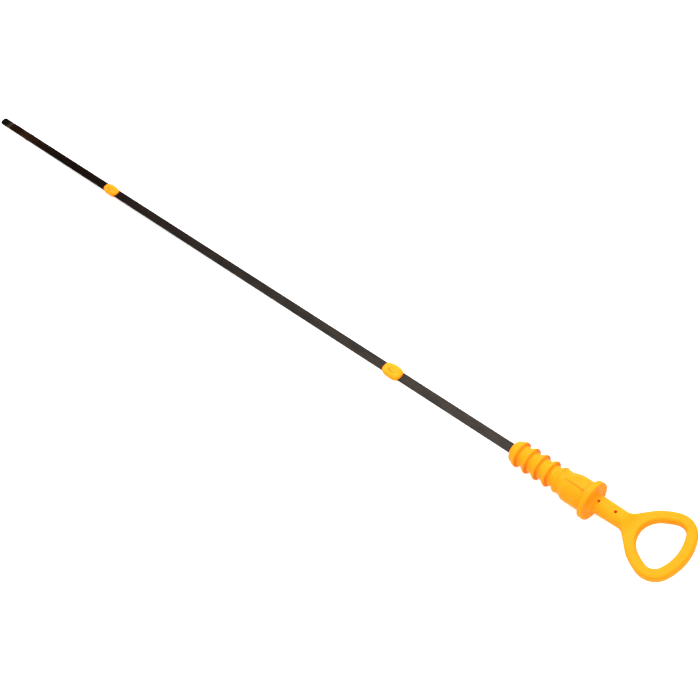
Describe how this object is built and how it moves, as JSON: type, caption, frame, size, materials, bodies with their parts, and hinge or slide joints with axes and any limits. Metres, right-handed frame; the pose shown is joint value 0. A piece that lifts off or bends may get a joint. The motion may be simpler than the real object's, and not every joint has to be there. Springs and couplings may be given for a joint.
{
  "type": "engine oil dipstick",
  "caption": "Engine oil dipstick: flat steel strip with level marks, slim moulded guides, and a ribbed sealing plug with flange and rounded-triangle finger ring.",
  "frame": {"origin": "on the plug's axis, in the flange's face that seats on the mouth of the dipstick tube", "axes": "+X along the axis from the strip's tip towards the finger ring, +Z square to the flat of the strip and of the ring, +Y across them"},
  "size_m": [0.636, 0.04, 0.0224],
  "materials": {
    "strip_steel": "blackened spring steel strip, finely brushed along its length",
    "handle_plastic": "satin moulded plastic, orange-yellow",
    "guide_plastic": "satin moulded plastic, orange-yellow"
  },
  "bodies": {
    "root": {"blade": "strip_steel", "handle": "handle_plastic", "upper_guide": "guide_plastic", "lower_guide": "guide_plastic"}
  },
  "joints": []
}
